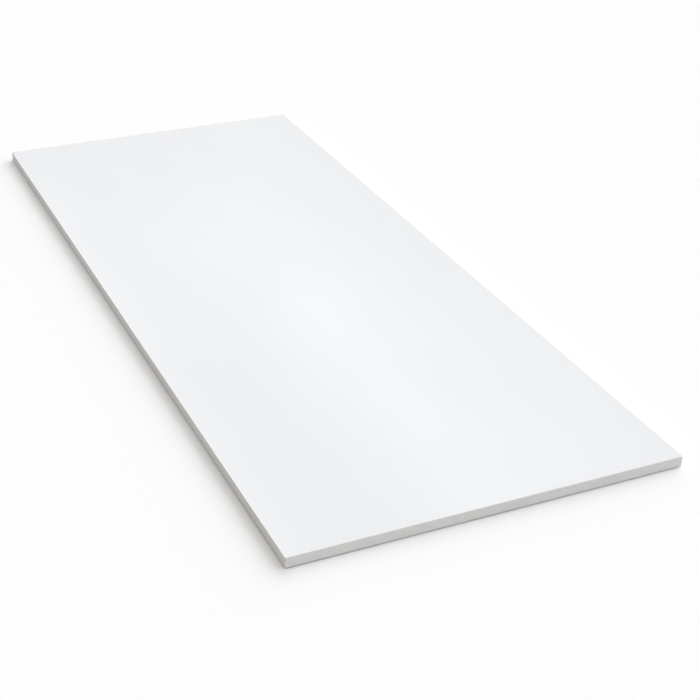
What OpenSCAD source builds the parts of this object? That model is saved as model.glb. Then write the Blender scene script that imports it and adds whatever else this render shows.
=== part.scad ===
// Rigid foam PVC sheet: one flat rectangular board of stock, sawn to size on all four edges.
// Millimetres. The origin is the centre of the underside, +Y runs along the length and +Z is up.

/* [Sheet] */
// Length of the sheet, along Y
sheet_length = 3050; // [300:5:4100]
// Width of the sheet, along X
sheet_width = 1220; // [150:5:2050]
// Thickness of the sheet, along Z
sheet_thickness = 32; // [6:0.5:60]

/* [Sawn edges] */
// Radius of the four upright corners, eased after sawing
corner_radius = 3; // [1:0.5:25]
// Width of the 45 degree bevel that eases the arrises of both faces
arris_bevel = 0.5; // [0.1:0.1:0.9]

/* [Hidden] */
$fn = 96;
skin_white = [0.93, 0.94, 0.95];
// A corner radius is centred this far from the sheet's own centre lines
corner_x = sheet_width / 2 - corner_radius;
corner_y = sheet_length / 2 - corner_radius;

// Right half of the bevelled edge profile, from the axis at x = 0 out to the sawn edge at x = reach
function half_profile(reach) = [
    [0, 0],
    [reach - arris_bevel, 0],
    [reach, arris_bevel],
    [reach, sheet_thickness - arris_bevel],
    [reach - arris_bevel, sheet_thickness],
    [0, sheet_thickness]
];

// Straight bar whose long arrises are bevelled: across is its full width along X, along its run in Y
module bevelled_bar(across, along) {
    translate([0, along / 2, 0])
        rotate([90, 0, 0])
            linear_extrude(height = along)
                for (side = [0, 1])
                    mirror([side, 0]) polygon(half_profile(across / 2));
}

// Upright post with the same bevelled profile, which turns the edge through a corner
module corner_post() {
    rotate_extrude() polygon(half_profile(corner_radius));
}

// The whole sheet: two crossing bars carry the straight edges, and four posts round the corners
module foam_pvc_sheet() {
    color(skin_white)
        union() {
            bevelled_bar(sheet_width, 2 * corner_y);
            rotate([0, 0, 90]) bevelled_bar(sheet_length, 2 * corner_x);
            for (x = [-corner_x, corner_x], y = [-corner_y, corner_y])
                translate([x, y, 0]) corner_post();
        }
}

foam_pvc_sheet();
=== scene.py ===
"""Dresses the rigid foam PVC sheet: one board with satin skins and sawn edges, on a pale studio floor.

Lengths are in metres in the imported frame: +Y runs along the sheet, +Z is up and the underside lies at zero.
Heights of surface relief are in millimetres, and the bump nodes turn them into metres.
"""

import logging
import math
from dataclasses import dataclass, field
from enum import Enum

import bpy
import numpy as np
from mathutils import Euler, Matrix, Vector


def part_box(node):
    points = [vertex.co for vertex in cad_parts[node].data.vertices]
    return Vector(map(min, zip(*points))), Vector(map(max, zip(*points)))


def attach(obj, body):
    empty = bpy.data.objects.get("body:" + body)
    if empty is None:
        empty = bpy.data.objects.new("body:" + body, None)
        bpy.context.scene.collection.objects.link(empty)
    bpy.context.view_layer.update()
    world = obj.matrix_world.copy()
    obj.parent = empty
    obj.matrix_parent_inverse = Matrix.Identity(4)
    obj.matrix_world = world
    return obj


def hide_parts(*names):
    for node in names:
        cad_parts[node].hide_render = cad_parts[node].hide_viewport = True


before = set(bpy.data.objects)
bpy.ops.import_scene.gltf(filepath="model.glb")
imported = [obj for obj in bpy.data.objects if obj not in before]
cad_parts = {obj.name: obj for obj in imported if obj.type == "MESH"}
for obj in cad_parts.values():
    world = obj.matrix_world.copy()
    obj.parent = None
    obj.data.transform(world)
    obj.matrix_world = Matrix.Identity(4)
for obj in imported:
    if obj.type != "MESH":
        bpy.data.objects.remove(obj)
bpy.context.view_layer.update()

LOG = logging.getLogger("foam_pvc_sheet")
MM = 0.001
BODY = "root"
# The Mix node has sockets of one name for each kind of data, so its colour sockets are known by their places.
MIX_FIRST = 6
MIX_SECOND = 7
MIX_RESULT = 2
Socket = bpy.types.NodeSocket


class Surface(Enum):
    """The two kinds of surface on the board, by the number of their material slot."""

    SKIN = 0
    SAWN = 1


class Ray(Enum):
    """The rays that see the studio as a plain white background."""

    CAMERA = "Is Camera Ray"
    GLOSSY = "Is Glossy Ray"
    TRANSMISSION = "Is Transmission Ray"


# ---------------------------------------------------------------- node trees


@dataclass
class Bench:
    """A node tree being put together: adds nodes, sets their sockets and joins them."""

    tree: bpy.types.NodeTree

    def add(
        self, kind: str, inputs: dict[str | int, object] | None = None, **settings: object
    ) -> bpy.types.Node:
        """Adds one node.

        Args:
            kind: The node's Blender type name.
            inputs: What goes into its sockets, by name or place: a value, or another node's output.
            **settings: The node's own properties.

        Returns:
            The new node.
        """
        node = self.tree.nodes.new(kind)
        for name, value in settings.items():
            setattr(node, name, value)
        for key, value in (inputs or {}).items():
            self.feed(node.inputs[key], value)
        return node

    def feed(self, socket: Socket, value: object) -> None:
        """Joins an output to the socket, or writes a plain value into it.

        Args:
            socket: The socket that takes the value.
            value: An output socket, a number, or a colour or vector.
        """
        if isinstance(value, bpy.types.NodeSocket):
            self.tree.links.new(value, socket)
        else:
            socket.default_value = value

    def calc(self, operation: str, *terms: object) -> Socket:
        """Adds a Math node and returns its output.

        Args:
            operation: The Math node's operation, such as MULTIPLY.
            *terms: Its inputs in order.

        Returns:
            The output value.
        """
        return self.add("ShaderNodeMath", dict(enumerate(terms)), operation=operation).outputs[0]

    def blend(self, share: object, start: object, end: object) -> Socket:
        """Mixes two colours.

        Args:
            share: How much of the second colour shows, from 0 to 1.
            start: The first colour.
            end: The second colour.

        Returns:
            The mixed colour.
        """
        node = self.add("ShaderNodeMix", {"Factor": share}, data_type="RGBA")
        self.feed(node.inputs[MIX_FIRST], start)
        self.feed(node.inputs[MIX_SECOND], end)
        return node.outputs[MIX_RESULT]

    def ramp(self, value: object, start: float, end: float, low: float = 0.0, high: float = 1.0) -> Socket:
        """Carries a value smoothly from low to high as it goes from start to end.

        Args:
            value: The value that drives the change.
            start: Where the change begins.
            end: Where it is over.
            low: The result before start.
            high: The result past end.

        Returns:
            The result, which eases in and out.
        """
        sockets = {"Value": value, "From Min": start, "From Max": end, "To Min": low, "To Max": high}
        return self.add("ShaderNodeMapRange", sockets, interpolation_type="SMOOTHSTEP").outputs[0]

    def group(self, tree: bpy.types.NodeTree, **inputs: object) -> bpy.types.Node:
        """Places a shared node group.

        Args:
            tree: The group.
            **inputs: What goes into its named sockets.

        Returns:
            The group's node.
        """
        node = self.tree.nodes.new("ShaderNodeGroup")
        node.node_tree = tree
        for name, value in inputs.items():
            self.feed(node.inputs[name], value)
        return node


def new_group(name: str, inputs: dict[str, str], output: str) -> tuple[Bench, bpy.types.Node, bpy.types.Node]:
    """Starts a shader node group with named sockets.

    Args:
        name: The group's name.
        inputs: Socket type by socket name, such as {"Place": "NodeSocketVector"}.
        output: The name of its one output, a value.

    Returns:
        The bench to build on, the group's input node and its output node.
    """
    tree = bpy.data.node_groups.new(name, "ShaderNodeTree")
    for socket, kind in inputs.items():
        tree.interface.new_socket(socket, in_out="INPUT", socket_type=kind)
    tree.interface.new_socket(output, in_out="OUTPUT", socket_type="NodeSocketFloat")
    bench = Bench(tree)
    return bench, bench.add("NodeGroupInput"), bench.add("NodeGroupOutput")


def drift_group() -> bpy.types.NodeTree:
    """Builds the slow change that both finishes use for tone, gloss and drawn-out lines.

    The value is noise at Place divided by Reach, axis by axis, so that it drifts over one Reach. Its middle
    third is stretched over the range from Low to High, and the rest is held at those two ends.

    Returns:
        The node group.
    """
    inputs = {
        "Place": "NodeSocketVector",
        "Reach": "NodeSocketVector",
        "Low": "NodeSocketFloat",
        "High": "NodeSocketFloat",
    }
    bench, given, result = new_group("drift", inputs, "Value")
    terms = {0: given.outputs["Place"], 1: given.outputs["Reach"]}
    spread = bench.add("ShaderNodeVectorMath", terms, operation="DIVIDE")
    texture = {"Vector": spread.outputs[0], "Scale": 1.0, "Detail": 2.0, "Roughness": 0.5}
    noise = bench.add("ShaderNodeTexNoise", texture)
    sockets = {
        "Value": noise.outputs[0],
        "From Min": 1 / 3,
        "From Max": 2 / 3,
        "To Min": given.outputs["Low"],
        "To Max": given.outputs["High"],
    }
    stretched = bench.add("ShaderNodeMapRange", sockets)
    bench.feed(result.inputs["Value"], stretched.outputs[0])
    return bench.tree


def grain_group() -> bpy.types.NodeTree:
    """Builds the fine relief that both finishes use: the skin's orange peel and the foam's torn cell walls.

    The height is noise at Place divided by Size, times Depth, so its bumps are about one Size across.

    Returns:
        The node group.
    """
    inputs = {"Place": "NodeSocketVector", "Size": "NodeSocketFloat", "Depth": "NodeSocketFloat"}
    bench, given, result = new_group("grain", inputs, "Height")
    finer = bench.calc("DIVIDE", 1.0, given.outputs["Size"])
    texture = {"Vector": given.outputs["Place"], "Scale": finer, "Detail": 1.5, "Roughness": 0.45}
    noise = bench.add("ShaderNodeTexNoise", texture)
    bench.feed(result.inputs["Height"], bench.calc("MULTIPLY", noise.outputs[0], given.outputs["Depth"]))
    return bench.tree


@dataclass(frozen=True)
class SharedGroups:
    """The node groups that both finishes place with their own values."""

    drift: bpy.types.NodeTree
    grain: bpy.types.NodeTree

    @classmethod
    def build(cls) -> "SharedGroups":
        """Builds each group once."""
        return cls(drift=drift_group(), grain=grain_group())


def start_material(name: str) -> tuple[Bench, bpy.types.Node, Socket]:
    """Starts a material with one Principled shader.

    Args:
        name: The material's name.

    Returns:
        The bench, the shader and the place on the board in metres.
    """
    material = bpy.data.materials.new(name)
    material.use_nodes = True
    bench = Bench(material.node_tree)
    bench.tree.nodes.clear()
    shader = bench.add("ShaderNodeBsdfPrincipled")
    output = bench.add("ShaderNodeOutputMaterial")
    bench.feed(output.inputs["Surface"], shader.outputs[0])
    place = bench.add("ShaderNodeTexCoord").outputs["Object"]
    return bench, shader, place


# ---------------------------------------------------------------- finishes


@dataclass(frozen=True)
class SatinSkin:
    """The extruded face of the board: cool white, satin, with faint draw lines and orange peel."""

    name: str = "satin_skin"
    white: tuple[float, float, float] = (0.815, 0.823, 0.84)
    tone_change: float = 0.006
    cloud_reach: tuple[float, float, float] = (0.22, 0.5, 0.22)
    line_reach: tuple[float, float, float] = (0.004, 0.9, 0.02)
    roughness: float = 0.20
    gloss_change: float = 0.012
    refraction: float = 1.5
    line_depth_mm: float = 0.0007
    peel_size: float = 2.6 * MM
    peel_depth_mm: float = 0.005
    grit_size: float = 0.4 * MM
    grit_depth_mm: float = 0.0012

    def material(self, shared: SharedGroups) -> bpy.types.Material:
        """Builds the material.

        Tone is the white times one plus a cloudy drift. Height is the sum of the draw lines, the orange peel
        and a finer grit.

        Args:
            shared: The node groups that both finishes use.

        Returns:
            The finished material.
        """
        bench, shader, place = start_material(self.name)
        cloud = bench.group(
            shared.drift,
            Place=place,
            Reach=self.cloud_reach,
            Low=1 - self.tone_change,
            High=1 + self.tone_change,
        )
        line = bench.group(shared.drift, Place=place, Reach=self.line_reach, Low=-1.0, High=1.0)
        tone = {0: self.white, "Scale": cloud.outputs[0]}
        white = bench.add("ShaderNodeVectorMath", tone, operation="SCALE")
        bench.feed(shader.inputs["Base Color"], white.outputs[0])

        gloss = bench.calc("MULTIPLY_ADD", line.outputs[0], self.gloss_change, self.roughness)
        bench.feed(shader.inputs["Roughness"], gloss)
        shader.inputs["IOR"].default_value = self.refraction

        peel = bench.group(shared.grain, Place=place, Size=self.peel_size, Depth=self.peel_depth_mm)
        grit = bench.group(shared.grain, Place=place, Size=self.grit_size, Depth=self.grit_depth_mm)
        drawn = bench.calc("MULTIPLY_ADD", line.outputs[0], self.line_depth_mm, peel.outputs[0])
        height = bench.calc("ADD", drawn, grit.outputs[0])
        bump = bench.add("ShaderNodeBump", {"Strength": 1.0, "Distance": MM, "Height": height})
        bench.feed(shader.inputs["Normal"], bump.outputs[0])
        return bpy.data.materials[self.name]


@dataclass(frozen=True)
class SawBlade:
    """The circular blade that cut the edges, and the marks that its teeth and its uneven feed left."""

    radius: float = 150 * MM
    rise: float = 30 * MM
    tooth_pitch: float = 2.4 * MM
    feed_pitch: float = 13 * MM
    tooth_share: float = 0.6
    depth_mm: float = 0.12
    # Painted shading: how much darker the colour is made in the grooves of the saw marks.
    painted_shade: float = 0.05

    def marks(self, bench: Bench, shared: SharedGroups, axes: bpy.types.Node, thickness: float) -> Socket:
        """Draws the arcs that the teeth leave on the edge.

        The blade stands rise above the board, so its arbor is at thickness plus rise minus radius. A tooth
        leaves an arc of the blade's circle, so an arc's place is the way along the edge minus the root of
        radius squared minus height over the arbor squared. The edge runs along X or Y, and X plus Y is the
        way along it on all four sides. The tooth marks and the feed's slower marks are added in their shares.

        Args:
            bench: The material's node tree.
            shared: The node groups that both finishes use.
            axes: The node that splits the place on the board into X, Y and Z.
            thickness: The board's thickness.

        Returns:
            The marks, from 0 in a groove to 1 on a ridge.
        """
        over_arbor = bench.calc("SUBTRACT", axes.outputs[2], thickness + self.rise - self.radius)
        square = bench.calc("MULTIPLY", over_arbor, over_arbor)
        chord = bench.calc("SQRT", bench.calc("SUBTRACT", self.radius**2, square))
        along = bench.calc("ADD", axes.outputs[0], axes.outputs[1])
        track = bench.add("ShaderNodeCombineXYZ", {0: bench.calc("SUBTRACT", along, chord)})
        shares = {self.tooth_pitch: self.tooth_share, self.feed_pitch: 1 - self.tooth_share}
        tooth, feed = (
            bench.group(shared.drift, Place=track.outputs[0], Reach=(pitch, 1.0, 1.0), Low=0.0, High=share)
            for pitch, share in shares.items()
        )
        return bench.calc("ADD", tooth.outputs[0], feed.outputs[0])


@dataclass(frozen=True)
class SawnFoam:
    """The sawn edge of the board: matt foam, finest by the skins, between two dense skins."""

    thickness: float
    name: str = "sawn_foam"
    foam: tuple[float, float, float] = (0.88, 0.875, 0.87)
    skin: tuple[float, float, float] = (0.88, 0.88, 0.885)
    skin_start: float = 0.5 * MM
    skin_end: float = 1.8 * MM
    core_start: float = 3.0 * MM
    core_end: float = 8.0 * MM
    foam_roughness: float = 0.85
    skin_roughness: float = 0.5
    mottle_change: float = 0.022
    mottle_reach: tuple[float, float, float] = (0.022, 0.022, 0.009)
    drift_change: float = 0.012
    drift_reach: tuple[float, float, float] = (0.25, 0.25, 0.05)
    fine_cell: float = 0.28 * MM
    coarse_cell: float = 0.5 * MM
    cell_rim: float = 0.35
    cell_depth_mm: float = 0.05
    # Painted shading: how much darker the colour is made in the hollow of each open cell.
    painted_cell_shade: float = 0.08
    wall_size: float = 0.45 * MM
    wall_depth_mm: float = 0.03
    blade: SawBlade = SawBlade()

    def cells(self, bench: Bench, place: Socket, size: float) -> Socket:
        """Cuts open cells of one size: 0 on the walls between them, rising smoothly to 1 in their hollows."""
        texture = {"Vector": place, "Scale": 1 / size}
        cell = bench.add("ShaderNodeTexVoronoi", texture, feature="DISTANCE_TO_EDGE")
        return bench.ramp(cell.outputs["Distance"], 0.0, self.cell_rim)

    def material(self, shared: SharedGroups) -> bpy.types.Material:
        """Builds the material.

        Depth below the nearer face fades the dense skin into fine cells, and these into the core's coarser
        cells. Tone is the foam's colour times a mottle and a slow drift, times painted shading that darkens
        the hollow of each open cell and the grooves of the saw marks. Height is the saw marks plus the torn
        cell walls, less the open cells.

        Args:
            shared: The node groups that both finishes use.

        Returns:
            The finished material.
        """
        bench, shader, place = start_material(self.name)
        axes = bench.add("ShaderNodeSeparateXYZ", {0: place})
        from_top = bench.calc("SUBTRACT", self.thickness, axes.outputs[2])
        depth = bench.calc("MINIMUM", axes.outputs[2], from_top)
        foamed = bench.ramp(depth, self.skin_start, self.skin_end)
        coarse = bench.ramp(depth, self.core_start, self.core_end)

        fine_pit = self.cells(bench, place, self.fine_cell)
        coarse_pit = self.cells(bench, place, self.coarse_cell)
        gain = bench.calc("MULTIPLY", bench.calc("SUBTRACT", coarse_pit, fine_pit), coarse)
        pit = bench.calc("MULTIPLY", bench.calc("ADD", fine_pit, gain), foamed)

        mottle = bench.group(
            shared.drift,
            Place=place,
            Reach=self.mottle_reach,
            Low=1 - self.mottle_change,
            High=1 + self.mottle_change,
        )
        slow = bench.group(
            shared.drift,
            Place=place,
            Reach=self.drift_reach,
            Low=1 - self.drift_change,
            High=1 + self.drift_change,
        )
        marks = self.blade.marks(bench, shared, axes, self.thickness)
        # Painted shading: the colour is darkened in the grooves of the saw marks and in the hollow of each
        # open cell.
        cut = bench.calc("MULTIPLY_ADD", marks, self.blade.painted_shade, 1 - self.blade.painted_shade)
        painted_shade = bench.calc("MULTIPLY", bench.calc("MULTIPLY_ADD", pit, -self.painted_cell_shade, 1.0), cut)
        tone = bench.calc("MULTIPLY", bench.calc("MULTIPLY", mottle.outputs[0], slow.outputs[0]), painted_shade)
        plain = bench.blend(foamed, (*self.skin, 1.0), (*self.foam, 1.0))
        colour = bench.add("ShaderNodeVectorMath", {0: plain, "Scale": tone}, operation="SCALE")
        bench.feed(shader.inputs["Base Color"], colour.outputs[0])
        rougher = self.foam_roughness - self.skin_roughness
        roughness = bench.calc("MULTIPLY_ADD", foamed, rougher, self.skin_roughness)
        bench.feed(shader.inputs["Roughness"], roughness)

        torn = bench.group(shared.grain, Place=place, Size=self.wall_size, Depth=self.wall_depth_mm)
        walls = bench.calc("MULTIPLY", torn.outputs[0], foamed)
        pitted = bench.calc("MULTIPLY_ADD", pit, -self.cell_depth_mm, walls)
        height = bench.calc("MULTIPLY_ADD", marks, self.blade.depth_mm, pitted)
        bump = bench.add("ShaderNodeBump", {"Strength": 1.0, "Distance": MM, "Height": height})
        bench.feed(shader.inputs["Normal"], bump.outputs[0])
        return bpy.data.materials[self.name]


# ---------------------------------------------------------------- the board


def axis_steps(half: float, radius: float, pitch: float, corner_steps: int) -> np.ndarray:
    """Places the grid lines of a face along one axis.

    Lines are even between the two corner centres, and each corner block has its own finer, even steps.

    Args:
        half: Half the face's length along this axis.
        radius: The corner radius of the face.
        pitch: The widest step between the corner blocks.
        corner_steps: Steps across a corner block.

    Returns:
        The places of the lines, from minus half to half.
    """
    inner = half - radius
    middle = np.linspace(-inner, inner, math.ceil(2 * inner / pitch) + 1)
    corner = inner + radius * np.arange(1, corner_steps + 1) / corner_steps
    return np.concatenate((-corner[::-1], middle, corner))


def round_corners(x: np.ndarray, y: np.ndarray, centre: tuple[float, float]) -> tuple[np.ndarray, np.ndarray]:
    """Bends the square corner blocks of a grid into quarter discs.

    A point past both corner centres lies at some square distance, the larger of its two offsets. It goes to
    that same distance from the corner's centre, at an angle of 45 degrees times the smaller offset over the
    larger, taken from the nearer axis. Points past one centre or none stay where they are.

    Args:
        x: The grid's X places.
        y: The grid's Y places.
        centre: The corner's centre, as positive X and Y.

    Returns:
        The new X and Y places.
    """
    past_x = np.maximum(np.abs(x) - centre[0], 0.0)
    past_y = np.maximum(np.abs(y) - centre[1], 0.0)
    far = np.maximum(past_x, past_y)
    near = np.minimum(past_x, past_y)
    angle = math.pi / 4 * near / np.where(far > 0, far, 1.0)
    angle = np.where(past_x >= past_y, angle, math.pi / 2 - angle)
    corner = near > 0
    bent_x = np.where(corner, np.sign(x) * (centre[0] + far * np.cos(angle)), x)
    bent_y = np.where(corner, np.sign(y) * (centre[1] + far * np.sin(angle)), y)
    return bent_x, bent_y


def rim_of(numbers: np.ndarray) -> np.ndarray:
    """Lists the border of a grid of vertex numbers, anticlockwise seen from above, each once.

    Args:
        numbers: Vertex numbers by row along X and column along Y.

    Returns:
        The border's vertex numbers, from the corner at the lowest X and Y.
    """
    return np.concatenate((numbers[:-1, 0], numbers[-1, :-1], numbers[:0:-1, -1], numbers[0, :0:-1]))


def grid_quads(numbers: np.ndarray) -> np.ndarray:
    """Joins a grid of vertex numbers into quads.

    They face up where rows follow each other along X and columns along Y, and outwards where rows run down a
    wall and columns run round it anticlockwise seen from above.

    Args:
        numbers: Vertex numbers by row and column.

    Returns:
        One row of four vertex numbers for each quad.
    """
    corners = (numbers[:-1, :-1], numbers[1:, :-1], numbers[1:, 1:], numbers[:-1, 1:])
    return np.stack(corners, axis=-1).reshape(-1, 4)


@dataclass
class FoamBoard:
    """The board: two skins and the sawn edge round them, as one closed surface in place of its CAD solid."""

    node: str = "foam_pvc_sheet"
    slot: str = "white_foam_pvc"
    name: str = "foam_pvc_board"
    corner_radius: float = 3.0 * MM
    arris_radius: float = 0.5 * MM
    face_pitch: float = 20.0 * MM
    corner_steps: int = 6
    arris_steps: int = 3
    edge_rows: int = 16
    skin_sag: float = 0.06 * MM
    skin_wave: tuple[float, float] = (0.41, 0.67)
    wave_bend: float = 0.8
    bend_rate: float = 5.0
    rim_share: float = 0.1
    saw_wander: float = 0.12 * MM
    saw_waves: tuple[int, int] = (23, 61)
    slow_share: float = 0.6
    low: Vector = field(init=False)
    high: Vector = field(init=False)

    def __post_init__(self) -> None:
        """Reads the board's corners from the CAD node."""
        self.low, self.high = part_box(self.node)

    @property
    def thickness(self) -> float:
        """The board's thickness."""
        return self.high.z - self.low.z

    def face(self) -> tuple[np.ndarray, np.ndarray, tuple[float, float]]:
        """Lays out the flat of one face, inside the rounded arris.

        Returns:
            The grid's X places, its Y places, and the corner's centre as positive X and Y.
        """
        radius = self.corner_radius - self.arris_radius
        half_x = self.high.x - self.arris_radius
        half_y = self.high.y - self.arris_radius
        lines_x = axis_steps(half_x, radius, self.face_pitch, self.corner_steps)
        lines_y = axis_steps(half_y, radius, self.face_pitch, self.corner_steps)
        centre = (half_x - radius, half_y - radius)
        x, y = round_corners(*np.meshgrid(lines_x, lines_y, indexing="ij"), centre)
        return x, y, centre

    def sag(self, x: np.ndarray, y: np.ndarray) -> np.ndarray:
        """Gives how far a skin lies inside its true plane, where the rollers left it slightly wavy.

        Half of skin_sag times one minus the product of two cosines, one across and one along the board. The
        waves along it are bent by a sine across it, as wide as wave_bend. All of it fades smoothly to nothing
        over the last rim_share of the board's half width and half length.

        Args:
            x: X places.
            y: Y places.

        Returns:
            The sag in metres, never below zero.
        """
        across = np.cos(2 * np.pi * x / self.skin_wave[0])
        bend = self.wave_bend * np.sin(self.bend_rate * x)
        along = np.cos(2 * np.pi * y / self.skin_wave[1] + bend)
        room = np.minimum(1 - np.abs(x) / self.high.x, 1 - np.abs(y) / self.high.y)
        fade = np.clip(room / self.rim_share, 0.0, 1.0)
        smooth = fade * fade * (3 - 2 * fade)
        return self.skin_sag / 2 * (1 - across * along) * smooth

    def wander(self, share: np.ndarray) -> np.ndarray:
        """Gives how far the saw cut lies inside the board's true outline.

        Half of saw_wander times one plus two cosines along the rim, in their shares. Each has a whole number
        of waves round it, so that they join, and their sum keeps the shift between zero and saw_wander.

        Args:
            share: The way along the rim, from 0 to 1.

        Returns:
            The inward shift in metres.
        """
        slow, quick = (np.cos(2 * np.pi * waves * share) for waves in self.saw_waves)
        return self.saw_wander / 2 * (1 + self.slow_share * slow + (1 - self.slow_share) * quick)

    def profile(self) -> tuple[np.ndarray, np.ndarray]:
        """Draws the edge's section from one face's rim to the other.

        A quarter circle turns down from the top face, a straight wall follows, with rows that crowd towards
        its ends as a cosine does, and a second quarter circle turns in to the underside.

        Returns:
            How far each row stands out from the face's rim, and its height.
        """
        turn = np.linspace(0, math.pi / 2, self.arris_steps + 1)
        out = self.arris_radius * np.sin(turn)
        drop = self.arris_radius * (1 - np.cos(turn))
        wall = np.cos(np.linspace(0, math.pi, self.edge_rows + 1))[1:-1]
        middle = (self.high.z + self.low.z) / 2
        heights = middle + wall * (self.thickness / 2 - self.arris_radius)
        reach = np.full(len(heights), self.arris_radius)
        return (
            np.concatenate((out, reach, out[::-1])),
            np.concatenate((self.high.z - drop, heights, self.low.z + drop[::-1])),
        )

    def surface(self) -> tuple[np.ndarray, np.ndarray, np.ndarray]:
        """Works out the whole closed surface.

        Both skins are grids. The edge carries the profile round the rim of the face: each row is the rim
        moved out along its own normal, and its first and last rows are the rims of the two grids themselves.
        A rim point's normal points away from its heart, the nearest point of the rectangle between the
        corner centres.

        Returns:
            The vertices, the quads, and each quad's kind of surface.
        """
        x, y, centre = self.face()
        count = x.size
        upper = np.arange(count).reshape(x.shape)
        lower = upper + count
        sag = self.sag(x, y)
        top = np.stack((x, y, self.high.z - sag), axis=-1).reshape(-1, 3)
        base = np.stack((x, y, self.low.z + sag), axis=-1).reshape(-1, 3)

        rim = rim_of(upper)
        flat = top[rim, :2]
        heart = np.clip(flat, -np.array(centre), np.array(centre))
        normal = flat - heart
        normal /= np.linalg.norm(normal, axis=1, keepdims=True)
        step = np.linalg.norm(np.roll(flat, -1, axis=0) - flat, axis=1)
        share = np.concatenate(([0.0], np.cumsum(step)[:-1])) / step.sum()
        inward = self.wander(share)[:, None] * normal

        out, height = self.profile()
        rows = flat[None] - inward[None] + out[:, None, None] * normal[None]
        heights = np.broadcast_to(height[:, None, None], (*rows.shape[:2], 1))
        skirt = np.concatenate((rows, heights), axis=2)
        top[rim] = skirt[0]
        base[rim] = skirt[-1]
        inner = skirt[1:-1]
        inner_numbers = 2 * count + np.arange(inner.shape[0] * inner.shape[1]).reshape(inner.shape[:2])
        ring = np.concatenate((rim[None], inner_numbers, rim_of(lower)[None]))
        ring = np.concatenate((ring, ring[:, :1]), axis=1)

        quads = (grid_quads(upper), grid_quads(lower)[:, ::-1], grid_quads(ring))
        kinds = (Surface.SKIN, Surface.SKIN, Surface.SAWN)
        kind = np.concatenate([np.full(len(q), k.value) for q, k in zip(quads, kinds, strict=True)])
        return np.concatenate((top, base, inner.reshape(-1, 3))), np.concatenate(quads), kind

    def build(self, materials: dict[Surface, bpy.types.Material]) -> bpy.types.Object:
        """Makes the board's object and puts it in place of the CAD solid.

        Args:
            materials: The material of each kind of surface.

        Returns:
            The board.
        """
        points, quads, kind = self.surface()
        mesh = bpy.data.meshes.new(self.name)
        mesh.from_pydata(points, [], quads)
        for surface in Surface:
            mesh.materials.append(materials[surface])
        mesh.polygons.foreach_set("material_index", kind.astype(np.int32))
        mesh.polygons.foreach_set("use_smooth", np.ones(len(quads), bool))
        mesh.update()
        board = bpy.data.objects.new(self.name, mesh)
        bpy.context.scene.collection.objects.link(board)
        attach(board, BODY)
        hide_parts(self.node)
        return board


# ---------------------------------------------------------------- the studio


def seen_as_background(bench: Bench) -> Socket:
    """Adds a mask that is 1 for the rays that see the plain background.

    Args:
        bench: The material's or world's node tree.

    Returns:
        The mask: the largest of the Light Path outputs named in Ray.
    """
    path = bench.add("ShaderNodeLightPath")
    rays = [path.outputs[ray.value] for ray in Ray]
    return bench.calc("MAXIMUM", bench.calc("MAXIMUM", rays[0], rays[1]), rays[2])


@dataclass(frozen=True)
class StudioSky:
    """The white surround: a plain background to look at, and an even, faintly warm light on the board."""

    light: tuple[float, float, float] = (0.449, 0.43, 0.402)
    background: tuple[float, float, float] = (1.0, 1.0, 1.0)

    def build(self) -> None:
        """Sets the world."""
        world = bpy.data.worlds.new("studio_sky")
        bpy.context.scene.world = world
        world.use_nodes = True
        bench = Bench(world.node_tree)
        bench.tree.nodes.clear()
        colour = bench.blend(seen_as_background(bench), (*self.light, 1.0), (*self.background, 1.0))
        sky = bench.add("ShaderNodeBackground", {"Color": colour, "Strength": 1.0})
        output = bench.add("ShaderNodeOutputWorld")
        bench.feed(output.inputs["Surface"], sky.outputs[0])


@dataclass(frozen=True)
class StudioFloor:
    """The pale floor, which takes the board's shadow. Its level leaves a thin dark gap under the board."""

    half_width: float = 40.0
    level: float = -4.0 * MM
    seen_white: float = 0.98
    bounce_white: float = 0.63

    def build(self) -> bpy.types.Object:
        """Makes the floor.

        Returns:
            The floor.
        """
        mesh = bpy.data.meshes.new("studio_floor")
        side = np.array([-self.half_width, self.half_width])
        x, y = np.meshgrid(side, side, indexing="ij")
        points = np.stack((x, y, np.full_like(x, self.level)), axis=-1).reshape(-1, 3)
        mesh.from_pydata(points, [], grid_quads(np.arange(4).reshape(2, 2)))
        mesh.materials.append(self.material())
        floor = bpy.data.objects.new("studio_floor", mesh)
        bpy.context.scene.collection.objects.link(floor)
        return floor

    def material(self) -> bpy.types.Material:
        """Builds the floor's paper, which is whiter to look at than the light it throws back."""
        material = bpy.data.materials.new("studio_paper")
        material.use_nodes = True
        bench = Bench(material.node_tree)
        bench.tree.nodes.clear()
        seen = seen_as_background(bench)
        dim = (self.bounce_white,) * 3 + (1.0,)
        white = (self.seen_white,) * 3 + (1.0,)
        paper = bench.add("ShaderNodeBsdfDiffuse", {"Color": bench.blend(seen, dim, white)})
        output = bench.add("ShaderNodeOutputMaterial")
        bench.feed(output.inputs["Surface"], paper.outputs[0])
        return material


@dataclass(frozen=True)
class FarLamp:
    """A large, faintly cool softbox, far enough away to light the whole floor evenly. It makes no glint."""

    name: str
    heading: float
    height: float
    spread: float
    level: float
    tint: tuple[float, float, float] = (0.966, 1.0, 1.047)

    def build(self) -> bpy.types.Object:
        """Makes the lamp, which shines from its heading, in degrees right of +Y, and its height above it."""
        data = bpy.data.lights.new(self.name, "SUN")
        data.color = self.tint
        data.energy = self.level * math.pi
        data.angle = math.radians(self.spread)
        lamp = bpy.data.objects.new(self.name, data)
        lamp.rotation_euler = Euler((math.radians(90 - self.height), 0, math.radians(180 - self.heading)))
        lamp.visible_glossy = False
        bpy.context.scene.collection.objects.link(lamp)
        return lamp


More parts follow.
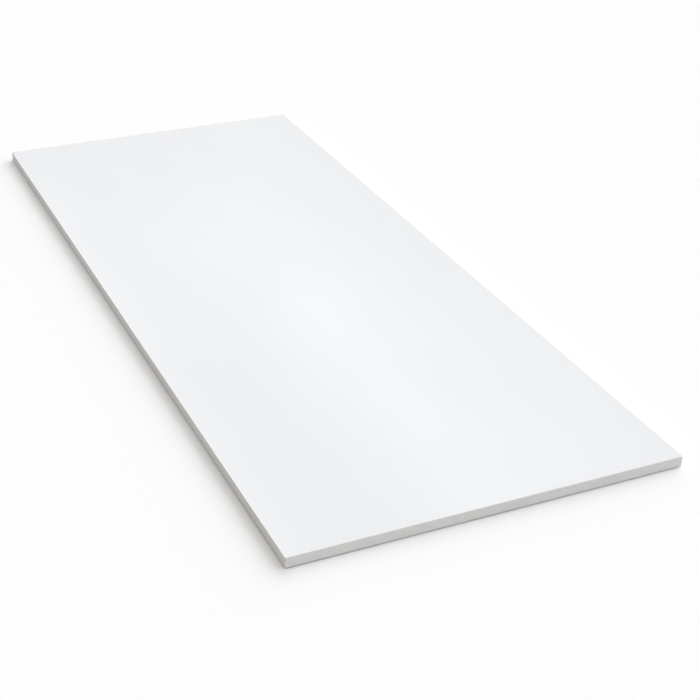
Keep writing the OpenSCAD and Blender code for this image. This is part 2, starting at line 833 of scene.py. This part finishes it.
@dataclass(frozen=True)
class GlintBox:
    """A flat lamp above and beyond the board, which only shows as a soft glint in its skin."""

    name: str
    middle: tuple[float, float]
    width: float
    length: float
    radiance: float
    turn: float = 0.0
    height: float = 2.5

    def build(self) -> bpy.types.Object:
        """Makes the lamp, which lies level and faces down, its length turned left from +Y by turn."""
        data = bpy.data.lights.new(self.name, "AREA")
        data.shape = "RECTANGLE"
        data.size = self.width
        data.size_y = self.length
        data.energy = self.radiance * self.width * self.length * math.pi
        lamp = bpy.data.objects.new(self.name, data)
        lamp.location = (*self.middle, self.height)
        lamp.rotation_euler = Euler((0, 0, math.radians(self.turn)))
        lamp.visible_camera = False
        lamp.visible_diffuse = False
        bpy.context.scene.collection.objects.link(lamp)
        return lamp


@dataclass(frozen=True)
class Viewpoint:
    """Where the camera stands and how it is turned."""

    place: tuple[float, float, float] = (-1.744, -4.388, 2.334)
    heading: float = 24.54
    tilt: float = 28.84
    roll: float = 0.85
    lens: float = 76.76
    sensor_width: float = 36.0

    def build(self) -> bpy.types.Object:
        """Makes the scene's camera.

        It looks along +Y turned right by heading and down by tilt, and leans by roll about its own axis.

        Returns:
            The camera.
        """
        data = bpy.data.cameras.new("camera")
        data.lens = self.lens
        data.sensor_width = self.sensor_width
        camera = bpy.data.objects.new("camera", data)
        turn = Matrix.Rotation(math.radians(-self.heading), 4, "Z")
        tip = Matrix.Rotation(math.radians(90 - self.tilt), 4, "X")
        lean = Matrix.Rotation(math.radians(self.roll), 4, "Z")
        camera.matrix_world = Matrix.Translation(self.place) @ turn @ tip @ lean
        bpy.context.scene.collection.objects.link(camera)
        bpy.context.scene.camera = camera
        return camera


def main() -> None:
    """Builds the camera, the board, the floor and the lights in order."""
    logging.basicConfig(level=logging.INFO, format="%(name)s: %(message)s")
    bpy.context.scene.view_settings.view_transform = "Standard"
    Viewpoint().build()

    board = FoamBoard()
    shared = SharedGroups.build()
    materials = {
        Surface.SKIN: SatinSkin().material(shared),
        Surface.SAWN: SawnFoam(thickness=board.thickness).material(shared),
    }
    piece = board.build(materials)
    LOG.info("%s: %d quads, rides on %s", piece.name, len(piece.data.polygons), BODY)

    StudioFloor().build()
    StudioSky().build()
    FarLamp("side_box", heading=110, height=35, spread=60, level=0.163).build()
    FarLamp("front_box", heading=150, height=65, spread=90, level=0.272).build()
    FarLamp("back_box", heading=50, height=25, spread=60, level=0.559).build()
    GlintBox("band_strip", middle=(1.81, 2.25), width=0.05, length=4.6, radiance=5.6).build()
    GlintBox("band_card", middle=(1.92, 3.68), width=1.42, length=5.4, radiance=0.52, turn=7.1).build()
    GlintBox("side_card", middle=(0.3, 3.0), width=0.2, length=5.6, radiance=4.8).build()


if __name__ == "__main__":
    main()
